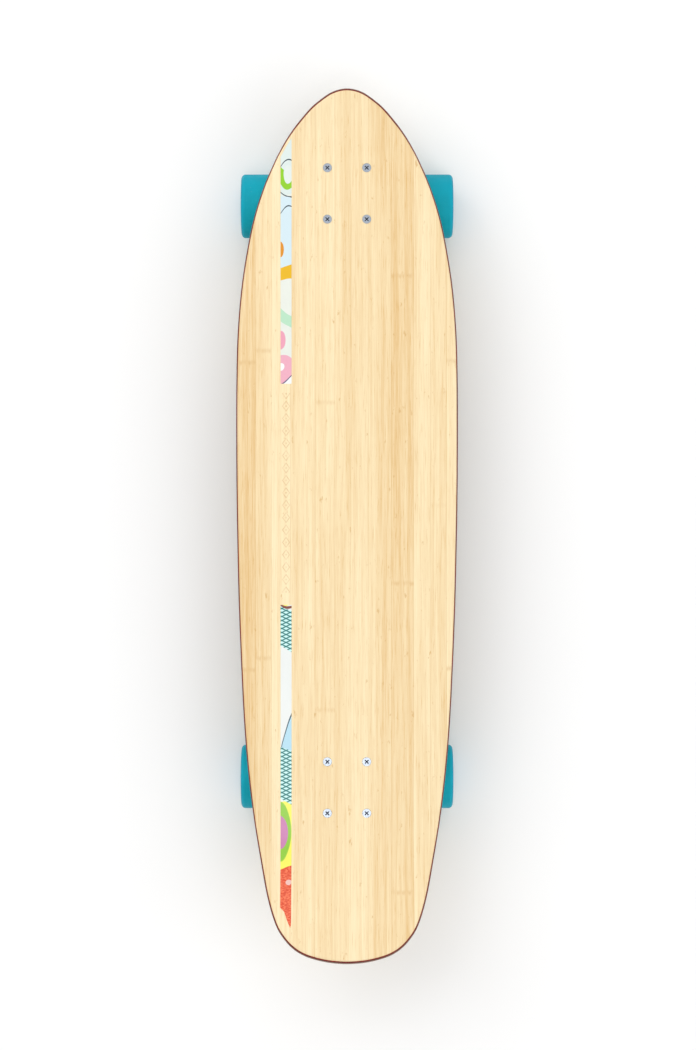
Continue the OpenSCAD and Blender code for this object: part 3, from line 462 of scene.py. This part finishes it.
def lathe(bm, profile, centre, steps=96):
    """Turns a closed line of (radius, along) points round the X axis through centre."""
    rings = []
    for radius, along in profile:
        rings.append([
            bm.verts.new(Vector(centre) + Vector((along, radius * math.cos(a), radius * math.sin(a))))
            for a in (2 * math.pi * k / steps for k in range(steps))])
    for a, b in zip(rings, rings[1:] + rings[:1]):
        for k in range(steps):
            n = (k + 1) % steps
            bm.faces.new((a[k], a[n], b[n], b[k]))


def crisp(node, finish, width):
    """A CAD node that keeps its shape, with its edges broken and its own finish."""
    piece = frame["nodes"][node]
    weld = piece.modifiers.new("weld", "WELD")
    weld.merge_threshold = WELD
    flat = piece.modifiers.new("flat", "DECIMATE")
    flat.decimate_type = "DISSOLVE"
    flat.angle_limit = math.radians(0.5)
    edge = piece.modifiers.new("edge", "BEVEL")
    edge.width = width
    edge.segments = 2
    edge.limit_method = "ANGLE"
    edge.angle_limit = math.radians(30)
    edge.use_clamp_overlap = True
    shade = piece.modifiers.new("shade", "WEIGHTED_NORMAL")
    shade.keep_sharp = True
    paint(piece, finish)


def paint(piece, finish):
    """Puts one finish on the whole piece."""
    for slot in piece.material_slots:
        slot.material = finish
    if not piece.material_slots:
        piece.data.materials.append(finish)


def casting(name, node, finish, body):
    """A CAD node remade as one soft-edged casting."""
    piece = new_piece(name, cad_copy(node), finish, body)
    remesh = piece.modifiers.new("remesh", "REMESH")
    remesh.mode = "VOXEL"
    remesh.voxel_size = 0.0009
    remesh.use_smooth_shade = True
    smooth = piece.modifiers.new("smooth", "SMOOTH")
    smooth.factor = 0.5
    smooth.iterations = 5
    bake(piece)
    paint(piece, finish)
    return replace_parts(piece, node)


# ---------------------------------------------------------------- deck
# the deck's half outline: share of its length from the nose, share of its half width
STATIONS = (
    (0, 0), (0.0013, 0.077), (0.0050, 0.154), (0.0115, 0.232), (0.0197, 0.313), (0.0306, 0.394),
    (0.0457, 0.489), (0.0641, 0.579), (0.0864, 0.6655), (0.1137, 0.755), (0.1476, 0.839),
    (0.186, 0.9023), (0.2297, 0.9537), (0.279, 0.986), (0.3336, 0.998), (0.394, 1),
    (0.459, 0.9974), (0.525, 0.989), (0.590, 0.977), (0.656, 0.9571), (0.7218, 0.9314),
    (0.782, 0.8937), (0.8366, 0.8422), (0.8858, 0.7804), (0.9274, 0.716), (0.958, 0.639),
    (0.9744, 0.557), (0.9848, 0.4717), (0.9913, 0.3816), (0.9954, 0.283), (0.9982, 0.180),
    (0.99955, 0.086), (1, 0),
)
SUB = 5
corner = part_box("deck_core")[1]
HALF_W, HALF_L = corner.x, corner.y
TOP = 0.106
CORE_FOOT = 9.8 * MM
FRONT_TRUCK, REAR_TRUCK = 0.3797 * 2 * HALF_L, -0.3022 * 2 * HALF_L
FRONT_STRIP_END = 0.1613 * 2 * HALF_L
REAR_STRIP_START, REAR_STRIP_TIP = -0.0926 * 2 * HALF_L, -0.4588 * 2 * HALF_L
BEND_R, BEND_STEPS = 0.150, 24
# each end's side, its lift and where its bend starts
NOSE = (1, math.radians(14), FRONT_TRUCK + 0.039)
TAIL = (-1, math.radians(20), -REAR_TRUCK + 0.042)


def station(i):
    """A station by number, mirrored past either end."""
    last = len(STATIONS) - 1
    if i < 0:
        return STATIONS[-i][0], -STATIONS[-i][1]
    if i > last:
        return STATIONS[2 * last - i][0], -STATIONS[2 * last - i][1]
    return STATIONS[i]


def through(a, b, c, d, t):
    """A smooth line from b to c, at share t, that also heeds the points before and after."""
    square, cube = 2 * a - 5 * b + 4 * c - d, 3 * b - a - 3 * c + d
    return 0.5 * (2 * b + (c - a) * t + square * t * t + cube * t ** 3)


HALF_LINE = []
for i in range(len(STATIONS) - 1):
    for k in range(SUB):
        at, half = (through(*(station(i + j)[v] for j in (-1, 0, 1, 2)), k / SUB) for v in (0, 1))
        HALF_LINE.append(Vector((half * HALF_W, (0.5 - at) * 2 * HALF_L)))
HALF_LINE.append(Vector((0, -HALF_L)))


def tilt(y):
    """The deck's slope at a place along it, as an angle."""
    for side, angle, bend in (NOSE, TAIL):
        past = y * side - bend
        if past > 0:
            return angle * min(1, past / (BEND_R * math.sin(angle)))
    return 0.0


def side_line(depth):
    """(y, z) points along the deck at a depth under its top, from tail to nose."""
    points = []
    for side, angle, bend in (TAIL, NOSE):
        arm = []
        for k in range(BEND_STEPS + 1):
            a = angle * k / BEND_STEPS
            y, z = bend + BEND_R * math.sin(a), TOP + BEND_R * (1 - math.cos(a))
            arm.append((side * (y + depth * math.sin(a)), z - depth * math.cos(a)))
        run = 0.2
        y, z = arm[-1]
        arm.append((y + side * run, z + run * math.tan(angle)))
        points += arm[::-1] if side < 0 else arm
    return points


SIDE_LINES = {}


def deck_z(y, depth):
    """The height of a sheet's surface at a place along the deck."""
    line = SIDE_LINES.setdefault(depth, side_line(depth))
    for (y0, z0), (y1, z1) in zip(line, line[1:]):
        if y0 <= y <= y1:
            return z0 + (z1 - z0) * (y - y0) / (y1 - y0)
    return line[0][1] if y < line[0][0] else line[-1][1]


def outline(inset, depth):
    """The deck's edge, set in and sunk by these amounts; nose first, then down the right side."""
    right = []
    n = len(HALF_LINE)
    for i, point in enumerate(HALF_LINE):
        if i in (0, n - 1):
            out = Vector((0, 1 if i == 0 else -1))
        else:
            run = (HALF_LINE[i + 1] - HALF_LINE[i - 1]).normalized()
            out = Vector((-run.y, run.x))
        x, y = point - out * inset
        y -= math.copysign(max(0, CORE_FOOT - depth) * math.sin(tilt(y)), y)
        right.append(Vector((max(0, x), y, deck_z(y, depth))))
    left = [Vector((-p.x, p.y, p.z)) for p in right[-2:0:-1]]
    return right + left


def ply(name, rings, finish):
    """One glued sheet of the deck, from rings of (inset, depth) in mm, from its top to its underside."""
    bm = bmesh.new()
    depth_layer = bm.verts.layers.float.new("depth")
    loops = []
    for inset, depth in rings:
        loop = [bm.verts.new(p) for p in outline(inset * MM, depth * MM)]
        for vert in loop:
            vert[depth_layer] = depth
        loops.append(loop)
    count = len(loops[0])
    for a, b in zip(loops, loops[1:]):
        for k in range(count):
            n = (k + 1) % count
            bm.faces.new((a[k], a[n], b[n], b[k]))
    half = count // 2
    for loop in (loops[0], loops[-1]):
        bm.faces.new((loop[0], loop[1], loop[-1]))
        bm.faces.new((loop[half], loop[half - 1], loop[half + 1]))
        for k in range(1, half - 1):
            bm.faces.new((loop[k], loop[k + 1], loop[-k - 1], loop[-k]))
    return new_piece(name, bm, finish, None, 40)


def cutter(bm):
    """A short-lived object to cut with."""
    mesh = bpy.data.meshes.new("cutter")
    bmesh.ops.recalc_face_normals(bm, faces=bm.faces)
    bm.to_mesh(mesh)
    bm.free()
    tool = bpy.data.objects.new("cutter", mesh)
    bpy.context.scene.collection.objects.link(tool)
    return tool


def cut_with(piece, bm):
    """Takes a bmesh's volume out of a piece."""
    tool = cutter(bm)
    step = piece.modifiers.new("cut", "BOOLEAN")
    step.operation = "DIFFERENCE"
    step.solver = "EXACT"
    step.object = tool
    bake(piece)
    bpy.data.objects.remove(tool)


BOLT_X, BOLT_Y = 20.65 * MM, 27 * MM
BOLT_R, HEAD_R = 2.4, 4.6
HOLE_SIDES = 40


def bolt_holes(grow):
    """Countersunk holes for the truck bolts, in mm, a little wider than the bolts themselves."""
    top = TOP / MM
    bm = bmesh.new()
    turns = [2 * math.pi * k / HOLE_SIDES for k in range(HOLE_SIDES)]
    shank, head = BOLT_R + grow, HEAD_R + grow
    places = [(sx * BOLT_X, y0 + sy * BOLT_Y, 0)
              for y0 in (FRONT_TRUCK, REAR_TRUCK) for sx in (-1, 1) for sy in (-1, 1)]
    for place in places:
        centre = Vector(place)
        rings = []
        for radius, z in ((shank, 90), (shank, top - 2.7), (head, top - 0.25), (head, top + 4)):
            loop = (Vector((radius * math.cos(a), radius * math.sin(a), z)) for a in turns)
            rings.append([bm.verts.new(centre + point * MM) for point in loop])
        for a, b in zip(rings, rings[1:]):
            for k in range(HOLE_SIDES):
                n = (k + 1) % HOLE_SIDES
                bm.faces.new((a[k], a[n], b[n], b[k]))
        bm.faces.new(rings[0])
        bm.faces.new(rings[-1])
    return bm


def strip_edges(front):
    """(y, left x, right x) along one inlaid strip, from its nose end to its tail end."""
    left, right = -INLAY_X - INLAY_HALF, -INLAY_X + INLAY_HALF
    if front:
        # its nose end follows the deck's left edge, 4 mm inside it
        rows = []
        line = outline(4 * MM, 0)[len(HALF_LINE):]
        top_left = edge_y(line, left)
        top_right = edge_y(line, right)
        rows.append((top_right, right - 0.00002, right))
        for k in range(1, 7):
            y = top_right + (top_left - top_right) * k / 6
            rows.append((y, edge_x(line, y), right))
        for k in range(1, 13):
            rows.append((top_left + (FRONT_STRIP_END - top_left) * k / 12, left, right))
        return rows
    # the rear strip runs out in a point on its right side
    start, tip, point = REAR_STRIP_START, REAR_STRIP_TIP, 0.020
    rows = [(start + (tip + point - start) * k / 40, left, right) for k in range(41)]
    rows += [(tip + 0.016, -INLAY_X - 0.0016, right), (tip + 0.008, -INLAY_X + 0.0012, right),
             (tip + 0.003, -INLAY_X + 0.0034, right), (tip, right - 0.001, right - 0.0009)]
    return rows


def edge_y(line, x):
    """Where the deck's edge line crosses a place across the deck, near the nose."""
    for a, b in zip(line, line[1:]):
        if min(a.x, b.x) <= x <= max(a.x, b.x) and a.y > 0:
            return a.y + (b.y - a.y) * (x - a.x) / (b.x - a.x)
    return 0.4


def edge_x(line, y):
    """Where the deck's edge line crosses a place along the deck, near the nose."""
    for a, b in zip(line, line[1:]):
        if min(a.y, b.y) <= y <= max(a.y, b.y) and a.y > 0:
            return a.x + (b.x - a.x) * (y - a.y) / (b.y - a.y)
    return -INLAY_X


def strip_solid(front, rise, sink, grow=0.0):
    """The strip as a thin slab: how far it stands over the veneer, how far it goes in, and its slack."""
    bm = bmesh.new()
    rows = []
    for y, x0, x1 in strip_edges(front):
        tops = [bm.verts.new((x, y, deck_z(y, 0) + rise)) for x in (x0 - grow, x1 + grow)]
        feet = [bm.verts.new((x, y, deck_z(y, 0) - sink)) for x in (x0 - grow, x1 + grow)]
        rows.append((tops[0], tops[1], feet[1], feet[0]))
    for a, b in zip(rows, rows[1:]):
        for k in range(4):
            n = (k + 1) % 4
            bm.faces.new((a[k], a[n], b[n], b[k]))
    bm.faces.new(rows[0])
    bm.faces.new(rows[-1])
    return bm


def make_deck():
    """Four glued sheets, in mm of inset and depth, with the two strips let into the top one."""
    top = ply("top_veneer", [(3.4, 0), (2.7, 0.12), (2.15, 0.42), (1.75, 0.8), (1.5, 1.2), (6, 1.2)],
              bamboo("bamboo_top", ornament=True))
    for front in (True, False):
        cut_with(top, strip_solid(front, 0.6 * MM, 0.5 * MM, 0.04 * MM))
    cut_with(top, bolt_holes(0.22))
    red = ply("red_ply", [(6, 1.2), (1.5, 1.2), (0.85, 1.75), (0.5, 2.4), (6, 2.4)], dyed_ply())
    core = ply("core", [(6, 2.4), (0.5, 2.4), (0.18, 3.2), (0.02, 4.5), (0, 6), (0.05, 7.5), (0.3, 9),
                        (0.55, 9.8), (6, 9.8)], core_ply())
    under = ply("bottom_veneer", [(6, 9.8), (1.0, 9.8), (1.35, 10.35), (2.0, 10.8), (3.0, 11)],
                bamboo("bamboo_under"))
    for piece in (red, core, under):
        cut_with(piece, bolt_holes(0.05))
    for piece, node, slot in (
            (top, "deck_top_veneer", "bamboo"), (red, "deck_red_ply", "red_ply"),
            (core, "deck_core", "core_ply"), (under, "deck_bottom_veneer", "bamboo")):
        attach(piece, "deck")
        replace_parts(piece, node)
    front_art = inlay_art("front_print", (0.78, 0.81, 0.74), FRONT_BANDS, FRONT_ROUNDS)
    rear_art = inlay_art("rear_print", (0.78, 0.81, 0.79), REAR_BANDS, REAR_ROUNDS, LATTICES)
    for front, node, finish in ((True, "front_inlay", front_art), (False, "rear_inlay", rear_art)):
        piece = new_piece(node + "_strip", strip_solid(front, 0, 0.5 * MM), finish, "deck")
        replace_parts(piece, node)


# ---------------------------------------------------------------- wheels
WHEEL_R = 0.034


def make_wheels():
    """Four wheels; a tyre is turned from (radius, distance from its middle) points in mm."""
    round_off = 4.5
    turns = (math.pi / 2 * k / 10 for k in range(11))
    half = [(29.5 + round_off * math.cos(a), 21 + round_off * math.sin(a)) for a in turns]
    half += [(27.4, 25.5), (26.3, 25.35), (25.2, 24.9), (24.4, 24.0), (22.8, 21.4), (21.6, 20.1),
             (20.2, 19.4), (18.9, 19.1), (18.0, 18.2), (18, 17)]
    profile = half + [(r, -x) for r, x in half[::-1]]
    profile = [(r * MM, x * MM) for r, x in profile]
    for place in ("front_left", "front_right", "rear_left", "rear_right"):
        low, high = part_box(place + "_tyre")
        centre = (low + high) / 2
        tyre = wheel_urethane(place + "_urethane", centre.y)
        core = coated(place + "_core_plastic", (0.62, 0.80, 0.80), rough=0.32, specks=500,
                      bump=0.00001, coat=0.2)
        bearing = sealed_bearing(place + "_bearing", centre.y)
        bm = bmesh.new()
        lathe(bm, profile, centre)
        piece = new_piece(place + "_wheel_tyre", bm, tyre, place + "_wheel", 50)
        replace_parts(piece, place + "_tyre")
        crisp(place + "_core", core, 0.0003)
        crisp(place + "_bearings", bearing, 0.0002)


# ---------------------------------------------------------------- trucks
# how far each steering axis leans from upright
STEER = math.radians(48)


def bushing(name, truck, along, finish):
    """One bushing round the kingpin, squeezed between its seat on the deck's side and the hanger's ring."""
    ring = Vector(next(j for j in frame["joints"] if j["name"] == truck + "_steer")["pos_m"])
    out = 1 if truck == "front" else -1
    seat_way = Vector((0, -out * math.sin(STEER), math.cos(STEER)))
    # (radius, distance from the ring's middle) points in mm: a barrel over the ring, a cone under it
    near, far = 3, 18
    profile = [(5.1, near), (8.0, near), (11.3, near), (11.9, 3.5), (12, 4.4)]
    if along > 0:
        profile += [(12.0, 9), (12.15, 10.5), (12.0, 12), (12, 16.6), (11.9, 17.5), (11.3, far)]
    else:
        profile += [(11.8, 7), (11.5, 10.5), (11.1, 14), (10.6, 16.9), (10.3, 17.6), (9.8, far)]
    profile += [(8, far), (5.1, far)]
    bm = bmesh.new()
    lathe(bm, [(r * MM, t * MM * along) for r, t in profile], (0, 0, 0), 72)
    matrix = seat_way.to_track_quat("X", "Z").to_matrix().to_4x4()
    bmesh.ops.transform(bm, matrix=Matrix.Translation(ring) @ matrix, verts=bm.verts)
    piece = new_piece(name, bm, finish, None, 40)
    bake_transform(piece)
    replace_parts(piece, truck + "_bushings")


def make_trucks():
    """Both trucks with their bushings, axles, bolts and pads."""
    steel = metal("zinc_plated_steel", (0.62, 0.64, 0.68), rough=0.26, marks=(900, 900, 900), bump=0.00001)
    bright = metal("turned_steel", (0.66, 0.67, 0.69), rough=0.2, marks=(2500, 60, 60), bump=0.00002)
    dark_cast = coated("dark_cast_powder_coat", (0.022, 0.024, 0.027), rough=0.42, specks=1400,
                       bump=0.00012, coat=0.15)
    raw_cast = metal("tumbled_casting", (0.52, 0.53, 0.55), rough=0.36, marks=(700, 700, 700),
                     bump=0.00012, dull=0.16, dark=0.8)
    rubber = coated("pad_rubber", (0.014, 0.014, 0.014), rough=0.6, specks=900, bump=0.00006)
    urethane = cast_urethane()
    casting("cast_baseplates", "baseplates", dark_cast, "deck")
    for truck in ("front", "rear"):
        casting(truck + "_cast_hanger", truck + "_hanger", raw_cast, truck + "_hanger")
        bushing(truck + "_upper_bushing", truck, 1, urethane)
        bushing(truck + "_lower_bushing", truck, -1, urethane)
        for fitting, finish, width in (
                ("axle", bright, 0.0002), ("speed_washers", steel, 0.0001), ("axle_nuts", steel, 0.0004),
                ("bearing_inner_rings", bright, 0.0002), ("bearing_spacers", bright, 0.0002)):
            crisp(truck + "_" + fitting, finish, width)
    crisp("pivot_cups", rubber, 0.0003)
    crisp("riser_pads", rubber, 0.0004)
    for node in ("kingpins", "kingpin_nuts", "bushing_washers", "deck_nuts"):
        crisp(node, steel, 0.0003)
    crisp("deck_bolts", bolt_steel(), 0.00012)


# ---------------------------------------------------------------- drive kit
def make_kit():
    """Box, battery, motor and belt under the deck."""
    box_skin = coated("box_plastic", (0.018, 0.018, 0.020), rough=0.5, specks=1100, bump=0.00012)
    black = coated("black_anodised", (0.020, 0.021, 0.024), rough=0.34, specks=2600, bump=0.00002, coat=0.2)
    screw = metal("black_oxide", (0.06, 0.06, 0.065), rough=0.35)
    shiny = metal("machined_aluminium", (0.58, 0.59, 0.61), rough=0.24, marks=(2500, 90, 90), bump=0.00003)
    steel = metal("socket_screw_steel", (0.55, 0.56, 0.58), rough=0.28)
    belt = coated("belt_rubber", (0.010, 0.010, 0.010), rough=0.62, specks=1500, bump=0.00005)
    foam = coated("closed_cell_foam", (0.03, 0.03, 0.034), rough=0.85, specks=700, bump=0.0003)
    red = coated("red_button_plastic", (0.55, 0.02, 0.015), rough=0.28, specks=2500, bump=0.00001, coat=0.3)
    can = metal("motor_can_metal", (0.20, 0.21, 0.23), rough=0.26, marks=(2500, 90, 90), bump=0.00003)
    for node, finish, width in (
            ("enclosure_shell", box_skin, 0.0012), ("enclosure_screws", screw, 0.0003),
            ("battery_cells", cell_sleeve(), 0.0008), ("battery_board", circuit_board(), 0.0003),
            ("motor_controller", black, 0.0005),
            ("button_bezel", shiny, 0.0004), ("power_button", red, 0.0003),
            ("charge_port", box_skin, 0.0003), ("motor_mount", black, 0.0005),
            ("mount_screws", steel, 0.0003), ("motor_stator", black, 0.0004),
            ("motor_can", can, 0.0005), ("motor_pulley", shiny, 0.00015), ("drive_belt", belt, 0.0002),
            ("wheel_pulley", black, 0.00015), ("pulley_bolts", steel, 0.0003)):
        crisp(node, finish, width)
    foam_pad(foam)


CELL_ROWS = 10


def spread(low, high, rim, steps):
    """Places from low to high: close together within rim of each end, even between."""
    ends = [rim * share for share in (0, 0.05, 0.2, 0.45, 0.7)]
    inner = [low + rim + (high - low - 2 * rim) * k / steps for k in range(steps + 1)]
    return [low + e for e in ends] + inner + [high - e for e in ends[::-1]]


def foam_pad(finish):
    """The foam sheet over the cells: soft edges, and swollen a little into the gaps between the cells."""
    low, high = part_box("battery_pad")
    rim = (high.z - low.z) / 2
    step = (high.y - low.y) / CELL_ROWS
    xs, ys = spread(low.x, high.x, rim, 12), spread(low.y, high.y, rim, 8 * CELL_ROWS)
    bm = bmesh.new()
    sheets = ([], [])
    for x in xs:
        for sheet in sheets:
            sheet.append([])
        for y in ys:
            near = min(x - low.x, high.x - x, y - low.y, high.y - y, rim) / rim
            half = rim * math.sqrt(max(0, 1 - (1 - near) ** 2))
            swell = 0.0005 * near * math.cos(math.pi * (y - low.y) / step) ** 2
            middle = low.z + rim
            top = bm.verts.new((x, y, middle + half))
            sheets[0][-1].append(top)
            sheets[1][-1].append(bm.verts.new((x, y, middle - half - swell)) if half else top)
    for sheet in sheets:
        for a, b in zip(sheet, sheet[1:]):
            for k in range(len(ys) - 1):
                bm.faces.new((a[k], a[k + 1], b[k + 1], b[k]))
    pad = new_piece("battery_foam_pad", bm, finish, "deck", 60)
    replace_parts(pad, "battery_pad")


# ---------------------------------------------------------------- stage
def make_stage():
    """Pale floor, four soft lamps, white surroundings and a camera that looks straight down."""
    bm = bmesh.new()
    bmesh.ops.create_grid(bm, x_segments=2, y_segments=2, size=30)
    f = Finish("floor_paint", {"Roughness": 0.9, "Specular IOR Level": 0.1})
    f.set(Base_Color=f.mix((0.93, 0.93, 0.93), (0.90, 0.90, 0.90), f.noise((2, 2, 2))))
    floor = new_piece("floor", bm, f.material, None)
    for name, place, size, power in (
            ("key", (-2.2, 1.6, 3.2), 3.0, 49), ("fill", (2.4, -1.2, 3.0), 3.0, 34),
            ("top", (0.2, 2.6, 3.4), 2.5, 19), ("glow_on_rear_bolts", (0, -0.6, 3.3), 0.7, 7)):
        light = bpy.data.lights.new(name, "AREA")
        light.shape = "SQUARE"
        light.size = size
        light.energy = power
        lamp = bpy.data.objects.new(name, light)
        bpy.context.scene.collection.objects.link(lamp)
        lamp.location = place
        lamp.rotation_euler = (Vector((0, 0, 0.1)) - Vector(place)).to_track_quat("-Z", "Y").to_euler()
    world = bpy.data.worlds.new("studio")
    bpy.context.scene.world = world
    world.use_nodes = True
    backdrop = world.node_tree.nodes["Background"]
    backdrop.inputs["Color"].default_value = (1, 1, 1, 1)
    backdrop.inputs["Strength"].default_value = 0.7
    bpy.context.scene.view_settings.view_transform = "Standard"
    camera = bpy.data.cameras.new("plan_camera")
    camera.sensor_fit = "VERTICAL"
    camera.sensor_height = 36
    height_over_deck, field_length = 2.8, 1.102
    camera.lens = camera.sensor_height * height_over_deck / field_length
    camera.clip_end = 100
    view = bpy.data.objects.new("plan_camera", camera)
    bpy.context.scene.collection.objects.link(view)
    view.location = (0.0010, -0.0008, TOP + height_over_deck)
    bpy.context.scene.camera = view


make_deck()
make_wheels()
make_trucks()
make_kit()
make_stage()
